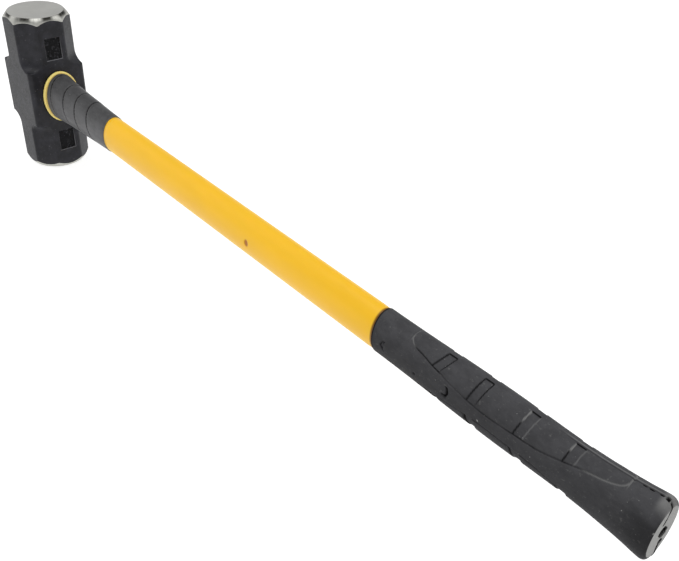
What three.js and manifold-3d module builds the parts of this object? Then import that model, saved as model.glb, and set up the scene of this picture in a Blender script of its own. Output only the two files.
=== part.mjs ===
// Double-faced sledge hammer with a jacketed fibreglass handle.
// Millimetres. +Z runs up the head from the lower striking face, +X runs along the handle to the butt.
// The origin is the centre of the lower striking face.
import * as THREE from 'three';
import { mergeVertices } from 'three/addons/utils/BufferGeometryUtils.js';
import Module from 'manifold-3d';

const wasm = await Module();
wasm.setup();

// ---- driving dimensions ----
const HEAD_LENGTH = 173;        // striking face to striking face
const HALF_FLATS = 31.75;       // half of the 63.5 mm across flats
const FACET_HALF = 14.1;        // half width of the four wide facets of the octagon
const BLOCK_CORNER = 4.5;       // rounding of the square block's upright edges
const SCOOP_START = 41;         // height above mid head where the diagonal facets start to run out
const SCOOP_RADIUS = 10.5;      // hollow that carries each diagonal facet out to the block's corner
const FACE_RADIUS = 29;         // flat of the striking face
const GRIND_SLOPE = 1.3;        // rise over run of the ground cone below the face
const FACE_EDGE = 0.7;          // small land at the rim of the flat
const PANEL = { width: 18.5, height: 24.5, depth: 1.6, centre: 52.8 };

const HANDLE_Z = HEAD_LENGTH / 2;
const BUTT_X = 782.2;           // end of the handle, measured from the head's axis
const OVAL = 0.67;              // width over height of the handle's section
const GAP = 0.45;               // clearance on the tall half axis, 0.3 mm on the flat sides

const CORE_HALF = 14.6;         // half height of the fibreglass rod
const NECK_HALF = 17.9;         // half height of the jacket where rubber covers it
const SHAFT_HALF = 19.3;        // half height of the bare jacket
const EYE = { nearY: 13, nearZ: 19.2, farY: 14.6, farZ: 21.6 };
const EYE_RECESS = 0.75;        // rod and resin stop this far short of the head's far side

const COLLAR = { start: 32.05, end: 36.2, halfY: 21.2, halfZ: 29 };
const GUARD = { start: 36.5, end: 151, slant: 4.3 };
const GUARD_GROOVES = [45, 70.5, 94, 118.5];
const GROOVE = { width: 1.5, depth: 0.9 };
const GRIP = { start: 548.2, cap: 775 };
const LEAF = { start: 581.5, end: 757, line: 0.7 };
const BANDS = [
  { x: 615.5, lean: 6.5 },
  { x: 648, lean: 4 },
  { x: 686.5, lean: 3 },
  { x: 721, lean: 1 },
];
const BAND = { width: 7.5, depth: 0.9 };
const FLARE = { start: 730, ratio: 0.585 };
const BUTT = { flatZ: 20.3, flatY: 14.3, roundX: 5.2, edge: 1 };
const PIN_HOLE = { half: 5.6, ratio: 0.45, depth: 3.5 };

const SEGMENTS = 56;

// ---- helpers ----
function solidOf(geometry) {
  const bare = geometry.index ? geometry.toNonIndexed() : geometry.clone();
  bare.deleteAttribute('normal');
  bare.deleteAttribute('uv');
  const merged = mergeVertices(bare, 1e-4);
  return new wasm.Manifold(new wasm.Mesh({
    numProp: 3,
    vertProperties: new Float32Array(merged.attributes.position.array),
    triVerts: new Uint32Array(merged.index.array),
  }));
}

function geometryOf(solid) {
  const mesh = solid.getMesh();
  const geometry = new THREE.BufferGeometry();
  geometry.setAttribute('position', new THREE.BufferAttribute(new Float32Array(mesh.vertProperties), 3));
  geometry.setIndex(new THREE.BufferAttribute(new Uint32Array(mesh.triVerts), 1));
  geometry.computeVertexNormals();
  return geometry;
}

function named(name, geometry, color, roughness, metalness) {
  const material = new THREE.MeshStandardMaterial({ color, roughness, metalness });
  const mesh = new THREE.Mesh(geometry, material);
  mesh.name = name;
  return mesh;
}

// Solid of oval sections along X: points are [half height, x], ratio gives width over height at x.
function ovalLathe(points, ratio, segments = SEGMENTS) {
  const profile = points.map(([r, x]) => new THREE.Vector2(r, x));
  const geometry = new THREE.LatheGeometry(profile, segments);
  const p = geometry.attributes.position;
  for (let i = 0; i < p.count; i += 1) {
    const x = p.getY(i);
    p.setXYZ(i, x, p.getZ(i) * ratio(x), p.getX(i));
  }
  return geometry;
}

const plainOval = () => OVAL;

// Smooth curve through [x, value] stations.
function curveThrough(stations) {
  const curve = new THREE.SplineCurve(stations.map(([x, v]) => new THREE.Vector2(x, v)));
  const fine = curve.getPoints(stations.length * 12);
  return (x) => {
    const k = fine.findIndex((q) => q.x >= x);
    if (k <= 0) return k === 0 ? fine[0].y : fine[fine.length - 1].y;
    const t = (x - fine[k - 1].x) / (fine[k].x - fine[k - 1].x);
    return fine[k - 1].y + t * (fine[k].y - fine[k - 1].y);
  };
}

function rod(halfHeight, x0, x1, ratio = plainOval) {
  return ovalLathe([[0, x0], [halfHeight, x0], [halfHeight, x1], [0, x1]], ratio);
}

// ---- head ----
function squareBar() {
  const a = HALF_FLATS;
  const r = BLOCK_CORNER;
  const shape = new THREE.Shape();
  shape.moveTo(a - r, -a);
  shape.absarc(a - r, -a + r, r, -Math.PI / 2, 0);
  shape.absarc(a - r, a - r, r, 0, Math.PI / 2);
  shape.absarc(-a + r, a - r, r, Math.PI / 2, Math.PI);
  shape.absarc(-a + r, -a + r, r, Math.PI, 1.5 * Math.PI);
  return new THREE.ExtrudeGeometry(shape, { depth: HEAD_LENGTH, bevelEnabled: false, curveSegments: 5 });
}

function groundEnds() {
  const reach = HALF_FLATS * 1.5;
  const land = FACE_RADIUS + FACE_EDGE;
  const shoulder = FACE_EDGE + (reach - land) * GRIND_SLOPE;
  const profile = [
    [0, 0], [FACE_RADIUS, 0], [land, FACE_EDGE], [reach, shoulder],
    [reach, HEAD_LENGTH - shoulder], [land, HEAD_LENGTH - FACE_EDGE], [FACE_RADIUS, HEAD_LENGTH],
    [0, HEAD_LENGTH],
  ].map(([r, z]) => new THREE.Vector2(r, z));
  return new THREE.LatheGeometry(profile, 80).rotateX(Math.PI / 2);
}

// One corner cutter: the diagonal facet above, the hollow run-out below, swept across the corner.
function cornerCutter(up, turn) {
  const facet = (HALF_FLATS + FACET_HALF) / Math.SQRT2;
  const outside = HALF_FLATS * 2;
  const beyond = HEAD_LENGTH;
  const shape = new THREE.Shape();
  shape.moveTo(facet, SCOOP_START);
  shape.absarc(facet + SCOOP_RADIUS, SCOOP_START, SCOOP_RADIUS, Math.PI, 1.5 * Math.PI);
  shape.lineTo(outside, SCOOP_START - SCOOP_RADIUS);
  shape.lineTo(outside, beyond);
  shape.lineTo(facet, beyond);
  const cutter = new THREE.ExtrudeGeometry(shape, { depth: outside, bevelEnabled: false, curveSegments: 8 });
  cutter.translate(0, 0, -outside / 2).rotateX(Math.PI / 2);
  if (!up) cutter.rotateX(Math.PI);
  return cutter.rotateZ(turn).translate(0, 0, HANDLE_Z);
}

function eyeCutter() {
  const ratioAt = (x) => {
    const t = (x + HALF_FLATS) / (2 * HALF_FLATS);
    return (EYE.farY + t * (EYE.nearY - EYE.farY)) / (EYE.farZ + t * (EYE.nearZ - EYE.farZ));
  };
  const over = 5;
  const grow = (EYE.farZ - EYE.nearZ) * over / (2 * HALF_FLATS);
  const points = [
    [0, -HALF_FLATS - over], [EYE.farZ + grow, -HALF_FLATS - over],
    [EYE.nearZ - grow, HALF_FLATS + over], [0, HALF_FLATS + over],
  ];
  return ovalLathe(points, ratioAt, 48).translate(0, 0, HANDLE_Z);
}

function headSolid() {
  let head = solidOf(squareBar()).intersect(solidOf(groundEnds()));
  for (const up of [true, false]) {
    for (let corner = 0; corner < 4; corner += 1) {
      head = head.subtract(solidOf(cornerCutter(up, Math.PI / 4 + corner * Math.PI / 2)));
    }
  }
  for (const side of [1, -1]) {
    for (const end of [1, -1]) {
      const panel = new THREE.BoxGeometry(2 * PANEL.depth, PANEL.width, PANEL.height);
      panel.translate(side * HALF_FLATS, 0, HANDLE_Z + end * PANEL.centre);
      head = head.subtract(solidOf(panel));
    }
  }
  return head.subtract(solidOf(eyeCutter()));
}

// ---- parts in the eye ----
const coreGeometry = () => rod(CORE_HALF, -HALF_FLATS + EYE_RECESS, GRIP.cap - 8);

function resinSolid() {
  const inset = 0.4;
  const ratioAt = (x) => {
    const t = (x + HALF_FLATS) / (2 * HALF_FLATS);
    const y = EYE.farY + t * (EYE.nearY - EYE.farY) - inset;
    const z = EYE.farZ + t * (EYE.nearZ - EYE.farZ) - inset;
    return y / z;
  };
  const x0 = -HALF_FLATS + EYE_RECESS;
  const x1 = HALF_FLATS - 0.3;
  const points = [[0, x0], [EYE.farZ - inset, x0], [EYE.nearZ - inset, x1], [0, x1]];
  const bore = solidOf(rod(CORE_HALF + GAP, x0 - 5, x1 + 5));
  return solidOf(ovalLathe(points, ratioAt, 48)).subtract(bore);
}

function collarSolid() {
  const ratioAt = () => COLLAR.halfY / COLLAR.halfZ;
  const round = 1.2;
  const points = [
    [0, COLLAR.start], [COLLAR.halfZ - 2 * round, COLLAR.start],
    [COLLAR.halfZ - 0.4 * round, COLLAR.start + round], [COLLAR.halfZ, COLLAR.end - round],
    [COLLAR.halfZ - 0.3 * round, COLLAR.end - 0.3 * round], [COLLAR.halfZ - round, COLLAR.end],
    [0, COLLAR.end],
  ];
  const bore = solidOf(rod(CORE_HALF + GAP, COLLAR.start - 5, COLLAR.end + 5));
  return solidOf(ovalLathe(points, ratioAt)).subtract(bore);
}

// ---- handle jacket ----
function jacketGeometry() {
  const bore = CORE_HALF + GAP;
  const end = GRIP.cap - 0.3;
  const points = [
    [bore, GUARD.start], [NECK_HALF, GUARD.start], [NECK_HALF, GUARD.end + 0.3],
    [SHAFT_HALF, GUARD.end + 0.3], [SHAFT_HALF, GRIP.start - 0.3], [NECK_HALF, GRIP.start - 0.3],
    [NECK_HALF, end], [bore, end], [bore, GUARD.start],
  ];
  return ovalLathe(points, plainOval);
}

// ---- overstrike guard ----
const guardHalf = curveThrough([
  [GUARD.start, 26.4], [55, 24.8], [82, 23.2], [106, 22.2], [130, 20.9], [GUARD.end, 20.1],
]);

function guardProfile() {
  const points = [[0, GUARD.start + 0.05]];
  const stops = [GUARD.start + 0.05, 40];
  for (const x of GUARD_GROOVES) {
    stops.push(x - 9, x - GROOVE.width / 2, x, x + GROOVE.width / 2, x + 8);
  }
  stops.push(138, GUARD.end - 0.8, GUARD.end);
  for (const x of stops.filter((s) => s >= GUARD.start).sort((p, q) => p - q)) {
    const cut = GUARD_GROOVES.includes(x) ? GROOVE.depth : 0;
    const lip = x === GUARD.end ? 0.5 : 0;
    points.push([guardHalf(x) - cut - lip, x]);
  }
  points.push([0, GUARD.end]);
  return points;
}

function guardSolid() {
  const outer = ovalLathe(guardProfile(), plainOval);
  const p = outer.attributes.position;
  for (let i = 0; i < p.count; i += 1) {
    const x = p.getX(i);
    const middle = Math.min(1, (x - GUARD.start) / 8, (GUARD.end - x) / 20);
    p.setX(i, x - GUARD.slant * Math.max(0, middle) * p.getZ(i) / guardHalf(x));
  }
  const bore = solidOf(rod(NECK_HALF + GAP, GUARD.start - 5, GUARD.end + 5));
  return solidOf(outer).subtract(bore);
}

// ---- grip ----
const gripHalf = curveThrough([
  [GRIP.start, 19.9], [572, 20], [597, 20.4], [621, 21], [650, 21.4], [671, 21.4], [692, 20.9],
  [718, 20.6], [736, 21.1], [748, 22.1], [757, 23], [766, 24.2], [774, 25.5], [BUTT_X - 2.5, 26.1],
]);

// Quarter round that falls from full to flat over a length ending at the butt.
function roundedEnd(full, flat, length, x) {
  const t = Math.min(1, Math.max(0, (x - BUTT_X + length) / length));
  return flat + (full - flat) * Math.sqrt(1 - t * t);
}

const buttHalf = (x) => roundedEnd(gripHalf(x), BUTT.flatZ, BUTT.roundX, x);

// The grip flares in height but thins in width over its last stretch.
// The butt is rounded deeply above and below, barely at its sides.
function gripRatio(x) {
  const t = Math.min(1, Math.max(0, (x - FLARE.start) / (BUTT_X - FLARE.start)));
  const ratio = OVAL - (OVAL - FLARE.ratio) * t * t * (3 - 2 * t);
  if (x <= BUTT_X - BUTT.roundX) return ratio;
  return roundedEnd(gripHalf(x) * ratio, BUTT.flatY, BUTT.edge, x) / buttHalf(x);
}

function gripBody(shrink) {
  const points = [[0, GRIP.start]];
  const round = 0.6;
  points.push([gripHalf(GRIP.start) - shrink - round, GRIP.start]);
  points.push([gripHalf(GRIP.start + round) - shrink, GRIP.start + round]);
  for (let x = 560; x < BUTT_X - 10; x += 11) points.push([gripHalf(x) - shrink, x]);
  for (const back of [BUTT.roundX, 2.6, BUTT.edge, 0.6, 0.2, 0]) {
    points.push([buttHalf(BUTT_X - back) - shrink, BUTT_X - back]);
  }
  points.push([0, BUTT_X]);
  return solidOf(ovalLathe(points, gripRatio));
}

// Height of the leaf's lower edge above the handle axis: low amidships, sweeping up to both tips.
const leafEdge = curveThrough([
  [LEAF.start + 1.2, 17.5], [588, 15], [598, 13.7], [615, 10.7], [640, 6.8], [662, 5.4], [690, 6.5],
  [708, 9.2], [725, 13.2], [742, 16.4], [752, 19], [LEAF.end - 1, 21.5],
]);

function leafPrism(side, grow) {
  const top = gripHalf(LEAF.end) + 10;
  const shape = new THREE.Shape();
  shape.moveTo(LEAF.start - grow, top);
  shape.lineTo(LEAF.start - grow, 19.5);
  for (let x = LEAF.start + 1.2; x < LEAF.end - 1; x += 7) {
    shape.lineTo(x, leafEdge(x) - grow);
  }
  shape.lineTo(LEAF.end + grow, 22);
  shape.lineTo(LEAF.end + grow, top);
  const prism = new THREE.ExtrudeGeometry(shape, { depth: 60, bevelEnabled: false });
  prism.translate(0, 0, -30).rotateX(Math.PI / 2);
  if (side < 0) prism.rotateX(Math.PI);
  return solidOf(prism);
}

// A band across the leaf, leaning towards the head as it comes down each side.
function bandPrism(side, band) {
  const foot = leafEdge(band.x);
  const half = BAND.width / 2;
  const slope = band.lean / (gripHalf(band.x) - foot);
  const middle = (z) => band.x + slope * (z - gripHalf(band.x));
  const low = foot - 4;
  const high = 40;
  const shape = new THREE.Shape();
  shape.moveTo(middle(low) - half, low);
  shape.lineTo(middle(low) + half, low);
  shape.lineTo(middle(high) + half, high);
  shape.lineTo(middle(high) - half, high);
  const prism = new THREE.ExtrudeGeometry(shape, { depth: 60, bevelEnabled: false });
  prism.translate(0, 0, -30).rotateX(Math.PI / 2);
  if (side < 0) prism.rotateX(Math.PI);
  return solidOf(prism);
}

function gripSolid() {
  const floor = gripBody(BAND.depth);
  let grip = gripBody(0);
  for (const side of [1, -1]) {
    const whole = leafPrism(side, LEAF.line);
    let sunk = whole.subtract(leafPrism(side, 0));
    for (const band of BANDS) sunk = sunk.add(bandPrism(side, band).intersect(whole));
    grip = grip.subtract(sunk.subtract(floor));
  }
  grip = grip.subtract(solidOf(rod(NECK_HALF + GAP, GRIP.start - 5, GRIP.cap)));
  const pinHole = rod(PIN_HOLE.half, BUTT_X - PIN_HOLE.depth, BUTT_X + 5, () => PIN_HOLE.ratio);
  return grip.subtract(solidOf(pinHole));
}

// ---- assembly ----
const hammer = new THREE.Group();
hammer.name = 'sledgehammer';
hammer.add(named('forged_steel_head', geometryOf(headSolid()), 0x2b2b2f, 0.5, 0.4));

const handle = new THREE.Group();
handle.name = 'handle';
handle.position.set(0, 0, HANDLE_Z);
handle.add(named('fibreglass_core_rod', coreGeometry(), 0xd9cf9a, 0.55, 0));
handle.add(named('eye_bonding_resin', geometryOf(resinSolid()), 0x3a332b, 0.35, 0));
handle.add(named('eye_seal_collar', geometryOf(collarSolid()), 0xf3e48e, 0.45, 0));
handle.add(named('handle_jacket', jacketGeometry(), 0xf8c229, 0.42, 0));
handle.add(named('overstrike_guard', geometryOf(guardSolid()), 0x303032, 0.72, 0));
handle.add(named('rubber_grip', geometryOf(gripSolid()), 0x2e2e30, 0.75, 0));
hammer.add(handle);

export default hammer;
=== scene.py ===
"""Double-faced sledgehammer with a jacketed fibreglass handle, modelled piece by piece."""
import functools
import math

import bmesh
import bpy
from bpy.props import FloatProperty, FloatVectorProperty, PointerProperty
from mathutils import Matrix, Vector


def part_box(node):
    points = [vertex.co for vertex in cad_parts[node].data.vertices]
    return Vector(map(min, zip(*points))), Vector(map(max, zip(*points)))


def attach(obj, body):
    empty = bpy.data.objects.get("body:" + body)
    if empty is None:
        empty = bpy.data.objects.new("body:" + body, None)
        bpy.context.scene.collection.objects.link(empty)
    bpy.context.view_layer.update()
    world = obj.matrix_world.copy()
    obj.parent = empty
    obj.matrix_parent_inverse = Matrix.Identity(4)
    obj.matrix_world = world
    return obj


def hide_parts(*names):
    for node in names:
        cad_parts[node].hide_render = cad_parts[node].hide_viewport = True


bl_info = {
    "name": "Sledgehammer maker",
    "version": (1, 0, 0),
    "blender": (4, 5, 0),
    "location": "View3D > Sidebar > Sledgehammer",
    "description": "Models a double-faced sledgehammer and its handle from a fixed frame",
    "category": "Object",
}

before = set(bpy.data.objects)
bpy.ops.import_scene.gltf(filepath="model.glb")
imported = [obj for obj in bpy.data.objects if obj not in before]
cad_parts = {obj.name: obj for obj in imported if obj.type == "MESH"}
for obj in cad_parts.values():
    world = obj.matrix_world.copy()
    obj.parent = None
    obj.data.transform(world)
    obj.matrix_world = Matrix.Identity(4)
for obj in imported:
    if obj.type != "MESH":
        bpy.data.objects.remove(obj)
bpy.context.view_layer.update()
MM = 0.001
MERGE = 1e-6
CREASE = 50
OVAL = 0.67
ROD_BORE = 0.01505
SLEEVE_BORE = 0.01835

HEAD_LOW, HEAD_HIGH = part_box("forged_steel_head")
COLLAR_LOW, COLLAR_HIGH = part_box("eye_seal_collar")
JACKET_LOW, JACKET_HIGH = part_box("handle_jacket")
GUARD_LOW, GUARD_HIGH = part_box("overstrike_guard")
GRIP_LOW, GRIP_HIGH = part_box("rubber_grip")
HANDLE_Z = (HEAD_LOW.z + HEAD_HIGH.z) / 2
BUTT_X = GRIP_HIGH.x


# ---------------------------------------------------------------- sizes and colours

def rgb(hex_code):
    """sRGB hex to linear red, green, blue."""
    values = [int(hex_code[i:i + 2], 16) / 255 for i in (1, 3, 5)]
    return tuple(v / 12.92 if v <= 0.04045 else ((v + 0.055) / 1.055) ** 2.4 for v in values)


def colour_prop(name, description, hex_code):
    return FloatVectorProperty(name=name, description=description, default=rgb(hex_code), subtype="COLOR",
                               size=3, min=0.0, max=1.0)


def length_prop(name, description, metres):
    return FloatProperty(name=name, description=description, default=metres, min=0.0, unit="LENGTH",
                         subtype="DISTANCE", precision=5)


class HeadSettings(bpy.types.PropertyGroup):
    facet_half: length_prop("Facet half width", "Half width of the octagon's four wide facets", 0.0141)
    edge_round: length_prop("Edge rounding", "Rounding of the forged long edges", 0.0013)
    scoop_start: length_prop("Scoop start", "Height above mid head where the corner facets run out", 0.041)
    scoop_radius: length_prop("Scoop radius", "Hollow that carries a corner facet out to the block", 0.0105)
    face_radius: length_prop("Face radius", "Flat of the striking face", 0.029)
    face_edge: length_prop("Face edge", "Small land at the rim of the flat", 0.0007)
    grind_slope: FloatProperty(name="Grind slope", description="Rise over run of the ground cone",
                               default=1.3)
    panel_width: length_prop("Panel width", "Width of the sunk panel", 0.0185)
    panel_height: length_prop("Panel height", "Height of the sunk panel", 0.0245)
    panel_centre: length_prop("Panel centre", "Height of the panel's middle above mid head", 0.0528)
    panel_depth: length_prop("Panel depth", "Depth of the sunk panel", 0.0016)
    lacquer: colour_prop("Lacquer", "Black lacquer over the forging", "#202025")
    ground: colour_prop("Ground steel", "Bright ground chamfer", "#c2c2bc")
    polished: colour_prop("Polished steel", "Striking face", "#dcdcd7")


class HandleSettings(bpy.types.PropertyGroup):
    oval: FloatProperty(name="Oval", description="Width over height of the handle's section", default=OVAL)
    shaft_half: length_prop("Shaft half height", "Half height of the bare jacket", 0.0193)
    groove_width: length_prop("Guard groove width", "Width of the guard's rings", 0.0015)
    groove_depth: length_prop("Guard groove depth", "Depth of the guard's rings", 0.0009)
    guard_slant: length_prop("Guard slant", "Lean of the guard's rings towards the head at the top", 0.0043)
    band_width: length_prop("Band width", "Width of the sunk bands across the grip", 0.0075)
    band_depth: length_prop("Band depth", "Depth of the sunk bands across the grip", 0.0009)
    jacket: colour_prop("Jacket", "Yellow moulded jacket", "#f2bc22")
    collar: colour_prop("Collar", "Pale yellow seal collar", "#f2dc80")
    guard_rubber: colour_prop("Guard rubber", "Rubber of the overstrike guard", "#3c3c3d")
    grip_rubber: colour_prop("Grip rubber", "Rubber of the grip", "#363638")


# ---------------------------------------------------------------- small makers

def new_piece(name, mesh_data, materials):
    piece = bpy.data.objects.new(name, mesh_data)
    bpy.context.scene.collection.objects.link(piece)
    for material in materials:
        mesh_data.materials.append(material)
    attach(piece, "root")
    return piece


def finish_mesh(bm, name, smooth_angle=CREASE):
    """Merges doubles, turns the faces outwards and shades everything below the angle smooth."""
    bmesh.ops.remove_doubles(bm, verts=bm.verts, dist=MERGE)
    bmesh.ops.recalc_face_normals(bm, faces=bm.faces)
    for face in bm.faces:
        face.smooth = True
    for edge in bm.edges:
        if len(edge.link_faces) == 2:
            edge.smooth = edge.calc_face_angle(0.0) < math.radians(smooth_angle)
    mesh_data = bpy.data.meshes.new(name)
    bm.to_mesh(mesh_data)
    bm.free()
    return mesh_data


def spun(profile, ratio, steps):
    """Oval turned solid along +X: profile is (half height, x) in metres, ratio(x) is width over height."""
    bm = bmesh.new()
    chain = [bm.verts.new((x, 0.0, HANDLE_Z + r)) for r, x in profile]
    edges = [bm.edges.new(pair) for pair in zip(chain, chain[1:])]
    bmesh.ops.spin(bm, geom=chain + edges, cent=(0, 0, HANDLE_Z), axis=(1, 0, 0), angle=2 * math.pi,
                   steps=steps, use_merge=True, use_duplicate=False)
    bmesh.ops.remove_doubles(bm, verts=bm.verts, dist=MERGE)
    for vert in bm.verts:
        vert.co.y *= ratio(vert.co.x)
    return bm


def through(stations):
    """Smooth curve through (x, value) stations given in millimetres; takes and gives metres."""
    @functools.lru_cache(maxsize=None)
    def value(x):
        x = x / MM
        if x <= stations[0][0]:
            return stations[0][1] * MM
        for i in range(len(stations) - 1):
            (x1, y1), (x2, y2) = stations[i], stations[i + 1]
            if x <= x2:
                x0, y0 = stations[i - 1] if i else (2 * x1 - x2, 2 * y1 - y2)
                x3, y3 = stations[i + 2] if i + 2 < len(stations) else (2 * x2 - x1, 2 * y2 - y1)
                m1 = (y2 - y0) / (x2 - x0) * (x2 - x1)
                m2 = (y3 - y1) / (x3 - x1) * (x2 - x1)
                t = (x - x1) / (x2 - x1)
                return MM * ((2 * t ** 3 - 3 * t ** 2 + 1) * y1 + (t ** 3 - 2 * t ** 2 + t) * m1
                             + (3 * t ** 2 - 2 * t ** 3) * y2 + (t ** 3 - t ** 2) * m2)
        return stations[-1][1] * MM
    return value


def ease(low, high, x):
    t = min(1.0, max(0.0, (x - low) / (high - low)))
    return t * t * (3 - 2 * t)


def groove(distance, half_width, soft):
    """1 inside a groove of that half width, falling to 0 over the soft edge."""
    return 1 - ease(half_width - soft / 2, half_width + soft / 2, abs(distance))


def add_node(tree, kind, settings=(), inputs=(), links=()):
    """Adds a shader node, sets its properties and sockets, and links other nodes' outputs into it."""
    node = tree.nodes.new(kind)
    for key, value in dict(settings).items():
        setattr(node, key, value)
    for key, value in dict(inputs).items():
        node.inputs[key].default_value = value
    for key, source in dict(links).items():
        tree.links.new(source, node.inputs[key])
    return node


def start_material(name, roughness, metallic=0.0, ior=1.5, specular=0.5):
    """A material with a principled shader and its output; gives material, tree and shader."""
    material = bpy.data.materials.new(name)
    material.use_nodes = True
    tree = material.node_tree
    tree.nodes.clear()
    shader = add_node(tree, "ShaderNodeBsdfPrincipled",
                      inputs={"Roughness": roughness, "Metallic": metallic, "IOR": ior,
                              "Specular IOR Level": specular})
    add_node(tree, "ShaderNodeOutputMaterial", links={"Surface": shader.outputs[0]})
    return material, tree, shader


def feed(tree, shader, base, roughness=None, normal=None):
    """Links finished patterns into the shader's colour, roughness and normal."""
    for socket, source in (("Base Color", base), ("Roughness", roughness), ("Normal", normal)):
        if source is not None:
            tree.links.new(source, shader.inputs[socket])


def let_light_in(shader, weight, radius):
    """Lets some light under the skin, as pale plastics do; the radius is in metres."""
    shader.inputs["Subsurface Weight"].default_value = weight
    shader.inputs["Subsurface Radius"].default_value = radius
    shader.inputs["Subsurface Scale"].default_value = 1.0


def object_coordinates(tree, scale=(1, 1, 1)):
    source = add_node(tree, "ShaderNodeTexCoord")
    mapping = add_node(tree, "ShaderNodeMapping", inputs={"Scale": scale},
                       links={"Vector": source.outputs["Object"]})
    return mapping.outputs[0]


def separated(tree, vector):
    return add_node(tree, "ShaderNodeSeparateXYZ", links={"Vector": vector}).outputs


def pattern(tree, size_mm, where, detail=3.0, roughness=0.55):
    """Noise whose features measure about size_mm; gives a value from 0 to 1."""
    node = add_node(tree, "ShaderNodeTexNoise",
                    inputs={"Scale": 1 / (size_mm * MM), "Detail": detail, "Roughness": roughness},
                    links={"Vector": where})
    return node.outputs["Fac"]


def remap(tree, source, low, high, to_low, to_high, smooth=False):
    node = add_node(tree, "ShaderNodeMapRange",
                    settings={"interpolation_type": "SMOOTHSTEP" if smooth else "LINEAR"},
                    inputs={"From Min": low, "From Max": high, "To Min": to_low, "To Max": to_high},
                    links={"Value": source})
    return node.outputs[0]


def blend(tree, factor, first, second, mode="MIX"):
    """Mixes two colours, each a linear triple or a node's output; the factor is a number or an output."""
    node = add_node(tree, "ShaderNodeMix", settings={"data_type": "RGBA", "blend_type": mode})
    for index, value in ((0, factor), (6, first), (7, second)):
        if isinstance(value, bpy.types.NodeSocket):
            tree.links.new(value, node.inputs[index])
        elif index == 0:
            node.inputs[0].default_value = value
        else:
            node.inputs[index].default_value = (*value, 1.0)
    return node.outputs[2]


def arithmetic(tree, operation, first, second=0.0):
    node = add_node(tree, "ShaderNodeMath", settings={"operation": operation})
    for index, value in enumerate((first, second)):
        if isinstance(value, bpy.types.NodeSocket):
            tree.links.new(value, node.inputs[index])
        else:
            node.inputs[index].default_value = value
    return node.outputs[0]


def painted(tree, name):
    """Value painted on the mesh's points under that name, 0 where nothing was painted."""
    return add_node(tree, "ShaderNodeAttribute", settings={"attribute_name": name}).outputs["Fac"]


def bump(tree, height, depth_mm, strength=1.0, normal=None):
    links = {"Height": height}
    if normal is not None:
        links["Normal"] = normal
    node = add_node(tree, "ShaderNodeBump", inputs={"Strength": strength, "Distance": depth_mm * MM},
                    links=links)
    return node.outputs[0]


def darker(colour, factor):
    return tuple(c * factor for c in colour)


# ---------------------------------------------------------------- materials

def lacquered_forging(settings):
    """Black lacquer on forged carbon steel: satin over faintly pitted scale, rubbed lighter in places;
    painted shade with crusty crumbs in the sunk panels, and painted highlights on the panels' rims.
    """
    material, tree, shader = start_material("black_lacquer_on_forged_steel", 0.45, 0.0, 1.5, 0.25)
    where = object_coordinates(tree)
    scale = pattern(tree, 11, where, 4)
    pits = pattern(tree, 1.4, where, 3, 0.6)
    specks = pattern(tree, 1.5, where, 2, 0.5)
    rubbed = remap(tree, scale, 0.35, 0.7, 0.0, 1.0, True)
    base = blend(tree, rubbed, darker(settings.lacquer, 0.65), darker(settings.lacquer, 1.4))
    base = blend(tree, remap(tree, specks, 0.7, 0.76, 0.0, 0.7, True), base, rgb("#8a8a8c"))
    # Painted shade: the sunk panels go near black, with pale crumbs of real crust.
    sunk = painted(tree, "sunk")
    crust = pattern(tree, 2.4, where, 3, 0.7)
    crumbs = remap(tree, crust, 0.52, 0.68, 0.0, 0.8, True)
    base = blend(tree, sunk, base, blend(tree, crumbs, rgb("#010102"), rgb("#46464a")))
    # Painted highlight: paler on the panels' rims, most on the lower sills.
    base = blend(tree, painted(tree, "wear_and_highlight"), base, rgb("#7a7a7e"))
    sheen = remap(tree, pits, 0.3, 0.7, 0.38, 0.54)
    soft = bump(tree, scale, 0.5, 0.4)
    crusted = bump(tree, arithmetic(tree, "MULTIPLY", crust, sunk), 1.2, 0.9, soft)
    feed(tree, shader, base, arithmetic(tree, "MAXIMUM", sheen, sunk), bump(tree, pits, 0.14, 0.7, crusted))
    return material


def distance_from_axis(tree, apart):
    """Distance in metres from the head's axis."""
    squares = [arithmetic(tree, "MULTIPLY", apart[side], apart[side]) for side in ("X", "Y")]
    return arithmetic(tree, "SQRT", arithmetic(tree, "ADD", *squares))


def ground_steel(settings):
    """Ground carbon steel chamfer: grinding lines down the slope, and dark streaks under the upper face that
    are painted reflections of dark surroundings.
    """
    material, tree, shader = start_material("ground_carbon_steel", 0.3, 1.0)
    apart = separated(tree, object_coordinates(tree))
    turn = arithmetic(tree, "ARCTAN2", apart["Y"], apart["X"])
    around = add_node(tree, "ShaderNodeCombineXYZ",
                      links={"X": arithmetic(tree, "MULTIPLY", turn, 0.03),
                             "Y": arithmetic(tree, "MULTIPLY", apart["Z"], 0.06)}).outputs[0]
    lines = pattern(tree, 0.5, around, 2)
    patches = pattern(tree, 7, around, 3)
    # Painted reflection: eight dark lobes round the upper cone, strongest next to the face, stand in for dark
    # surroundings mirrored in the steel.
    eighths = arithmetic(tree, "MULTIPLY", arithmetic(tree, "ADD", turn, 0.85), 8.0)
    swing = arithmetic(tree, "MULTIPLY", arithmetic(tree, "COSINE", eighths), 0.33)
    streaks = remap(tree, arithmetic(tree, "ADD", swing, patches), 0.12, 0.75, 0.0, 1.0, True)
    under_face = remap(tree, distance_from_axis(tree, apart), 0.0302, 0.0328, 1.0, 0.0, True)
    upper = remap(tree, apart["Z"], HANDLE_Z, HANDLE_Z + 0.01, 0.0, 1.0)
    painted_dark_reflection = arithmetic(tree, "MULTIPLY", arithmetic(tree, "MULTIPLY", upper, streaks), under_face)
    base = blend(tree, painted_dark_reflection, settings.ground, rgb("#1c1b19"))
    base = blend(tree, remap(tree, lines, 0.35, 0.65, 0.0, 0.25), base, rgb("#77756f"))
    feed(tree, shader, base, remap(tree, lines, 0.3, 0.7, 0.34, 0.5), bump(tree, lines, 0.03, 0.4))
    return material


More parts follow.
